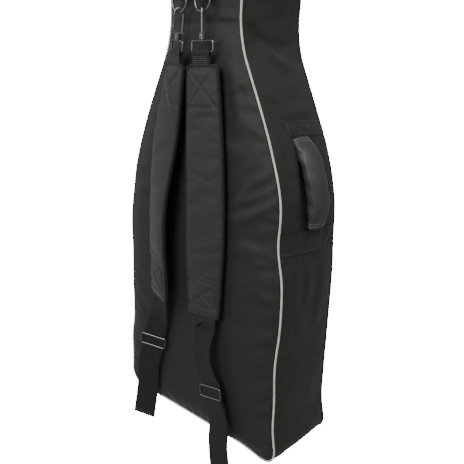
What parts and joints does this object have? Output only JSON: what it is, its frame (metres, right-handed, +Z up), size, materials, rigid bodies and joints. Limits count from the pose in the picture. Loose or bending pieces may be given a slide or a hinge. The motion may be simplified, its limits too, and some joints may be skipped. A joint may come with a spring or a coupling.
{
  "type": "padded instrument gig bag",
  "caption": "Padded instrument bag with hooked shoulder straps, side carry handle, zipped lid with flat pocket, and a loop to hang it by.",
  "frame": {"origin": "inside top of the hanging loop", "axes": "+Z up along the bag, -Y out of the strapped back panel, +X towards the side with the carry handle"},
  "size_m": [0.3392, 0.1748, 1.1158],
  "materials": {
    "cover_cloth": "matte woven nylon",
    "foam": "closed-cell foam",
    "lining_cloth": "smooth lining",
    "piping_light": "pale satin piping",
    "binding_dark": "folded tape",
    "webbing": "ribbed webbing",
    "pad_cloth": "matte woven nylon, padded",
    "grip_leather": "semi-gloss leatherette",
    "hardware": "dark nickel plate",
    "zip_tape": "zipper tape",
    "zip_teeth": "nylon coil",
    "zip_metal": "black painted die-casting"
  },
  "bodies": {
    "bag": {"back_panel_cover": "cover_cloth", "back_panel_foam": "foam", "back_panel_lining": "lining_cloth", "gusset_cover": "cover_cloth", "gusset_lining": "lining_cloth", "gusset_foam_bottom": "foam", "gusset_foam_right": "foam", "gusset_foam_left": "foam", "gusset_foam_head": "foam", "back_piping": "piping_light", "front_binding": "binding_dark", "zipper_tape_wall": "zip_tape", "zipper_teeth_wall": "zip_teeth", "lid_hinge_strip": "cover_cloth", "hang_loop": "webbing", "handle_lower_band": "cover_cloth", "handle_upper_band": "cover_cloth", "ring_tab_right": "webbing", "ring_tab_left": "webbing", "neck_cradle": "foam", "neck_tie": "webbing", "end_bumper": "foam"},
    "lid": {"lid_cover": "cover_cloth", "lid_foam": "foam", "lid_lining": "lining_cloth", "lid_hinge_flap": "cover_cloth", "zipper_tape_lid": "zip_tape", "zipper_teeth_lid": "zip_teeth", "pocket_panel": "cover_cloth", "pocket_zipper_tapes": "zip_tape", "pocket_zipper_teeth": "zip_teeth"},
    "main_slider_upper": {"zipper_slider_upper": "zip_metal"},
    "main_pull_upper": {"zipper_slider_upper_pull": "zip_metal"},
    "main_slider_lower": {"zipper_slider_lower": "zip_metal"},
    "main_pull_lower": {"zipper_slider_lower_pull": "zip_metal"},
    "pocket_slider": {"pocket_slider": "zip_metal"},
    "pocket_pull": {"pocket_slider_pull": "zip_metal"},
    "handle": {"handle_core": "webbing", "handle_grip": "grip_leather"},
    "ring_right": {"strap_ring_right": "hardware"},
    "hook_right": {"snap_hook_right": "hardware"},
    "gate_right": {"hook_gate_right": "hardware"},
    "loop_right": {"swivel_loop_right": "hardware"},
    "pad_right": {"upper_webbing_right": "webbing", "shoulder_pad_right": "pad_cloth"},
    "end_right": {"lower_webbing_right": "webbing"},
    "glide_right": {"tri_glide_right": "hardware"},
    "ring_left": {"strap_ring_left": "hardware"},
    "hook_left": {"snap_hook_left": "hardware"},
    "gate_left": {"hook_gate_left": "hardware"},
    "loop_left": {"swivel_loop_left": "hardware"},
    "pad_left": {"upper_webbing_left": "webbing", "shoulder_pad_left": "pad_cloth"},
    "end_left": {"lower_webbing_left": "webbing"},
    "glide_left": {"tri_glide_left": "hardware"}
  },
  "joints": [
    {"name": "lid_open", "type": "hinge", "parent": "bag", "child": "lid", "pos_m": [0.144, 0.0635, -0.8808], "axis": [0, 0, -1], "range_deg": [0, 140]},
    {"name": "main_slider_upper_slide", "type": "slide", "parent": "lid", "child": "main_slider_upper", "axis": [0, 0, 1], "range_m": [0, 0.088]},
    {"name": "main_pull_upper_flip", "type": "hinge", "parent": "main_slider_upper", "child": "main_pull_upper", "pos_m": [-0.144, 0.0674, -0.8423], "axis": [1, 0, 0], "range_deg": [0, 150]},
    {"name": "main_slider_lower_slide", "type": "slide", "parent": "lid", "child": "main_slider_lower", "axis": [0, 0, -1], "range_m": [0, 0.09]},
    {"name": "main_pull_lower_flip", "type": "hinge", "parent": "main_slider_lower", "child": "main_pull_lower", "pos_m": [-0.144, 0.0674, -0.8983], "axis": [1, 0, 0], "range_deg": [0, 150]},
    {"name": "pocket_slider_slide", "type": "slide", "parent": "lid", "child": "pocket_slider", "axis": [-1, 0, 0], "range_m": [0, 0.14]},
    {"name": "pocket_pull_flip", "type": "hinge", "parent": "pocket_slider", "child": "pocket_pull", "pos_m": [0.0805, 0.0709, -0.7728], "axis": [0, 0, -1], "range_deg": [0, 150]},
    {"name": "handle_flop", "type": "hinge", "parent": "bag", "child": "handle", "pos_m": [0.16035, 0.0035, -0.7148], "axis": [-0.2537, 0, 0.9673], "range_deg": [-10, 10], "stiffness_Nm_per_rad": 0.06},
    {"name": "ring_right_lift", "type": "hinge", "parent": "bag", "child": "ring_right", "pos_m": [0.022, -0.0865, -0.4078], "axis": [-1, 0, 0], "range_deg": [0, 75]},
    {"name": "hook_right_tip", "type": "hinge", "parent": "ring_right", "child": "hook_right", "pos_m": [0.022, -0.0865, -0.4274], "axis": [-1, 0, 0], "range_deg": [0, 35]},
    {"name": "gate_right_press", "type": "hinge", "parent": "hook_right", "child": "gate_right", "pos_m": [0.01889, -0.08204, -0.45094], "axis": [0.7428, 0.6688, 0.029], "range_deg": [0, 24], "stiffness_Nm_per_rad": 0.01, "springref_deg": -20.05},
    {"name": "swivel_right_turn", "type": "hinge", "parent": "hook_right", "child": "loop_right", "pos_m": [0.02339, -0.0865, -0.46357], "axis": [-0.038, 0, 0.9993], "range_deg": [-24, 10]},
    {"name": "strap_right_lift", "type": "hinge", "parent": "loop_right", "child": "pad_right", "pos_m": [0.02393, -0.0865, -0.47756], "axis": [-0.984, -0.174, -0.038], "range_deg": [0, 60]},
    {"name": "strap_end_right_bend", "type": "hinge", "parent": "pad_right", "child": "end_right", "pos_m": [0.03828, -0.0865, -0.85129], "axis": [-1, 0, 0], "range_deg": [0, 35]},
    {"name": "glide_right_adjust", "type": "slide", "parent": "end_right", "child": "glide_right", "axis": [-0.174, 0, 0.9848], "range_m": [-0.01, 0.09]},
    {"name": "ring_left_lift", "type": "hinge", "parent": "bag", "child": "ring_left", "pos_m": [-0.022, -0.0865, -0.4078], "axis": [-1, 0, 0], "range_deg": [0, 75]},
    {"name": "hook_left_tip", "type": "hinge", "parent": "ring_left", "child": "hook_left", "pos_m": [-0.022, -0.0865, -0.4274], "axis": [-1, 0, 0], "range_deg": [0, 35]},
    {"name": "gate_left_press", "type": "hinge", "parent": "hook_left", "child": "gate_left", "pos_m": [-0.02856, -0.09051, -0.4503], "axis": [-0.6662, 0.7433, 0.061], "range_deg": [0, 24], "stiffness_Nm_per_rad": 0.01, "springref_deg": -20.05},
    {"name": "swivel_left_turn", "type": "hinge", "parent": "hook_left", "child": "loop_left", "pos_m": [-0.02528, -0.0865, -0.46345], "axis": [0.091, 0, 0.9959], "range_deg": [-6, 16]},
    {"name": "strap_left_lift", "type": "hinge", "parent": "loop_left", "child": "pad_left", "pos_m": [-0.02655, -0.0865, -0.47739], "axis": [-0.9572, 0.2761, 0.087], "range_deg": [0, 60]},
    {"name": "strap_end_left_bend", "type": "hinge", "parent": "pad_left", "child": "end_left", "pos_m": [-0.06045, -0.0865, -0.84985], "axis": [-1, 0, 0], "range_deg": [0, 35]},
    {"name": "glide_left_adjust", "type": "slide", "parent": "end_left", "child": "glide_left", "axis": [0.1701, 0, 0.9854], "range_m": [-0.01, 0.05]}
  ]
}
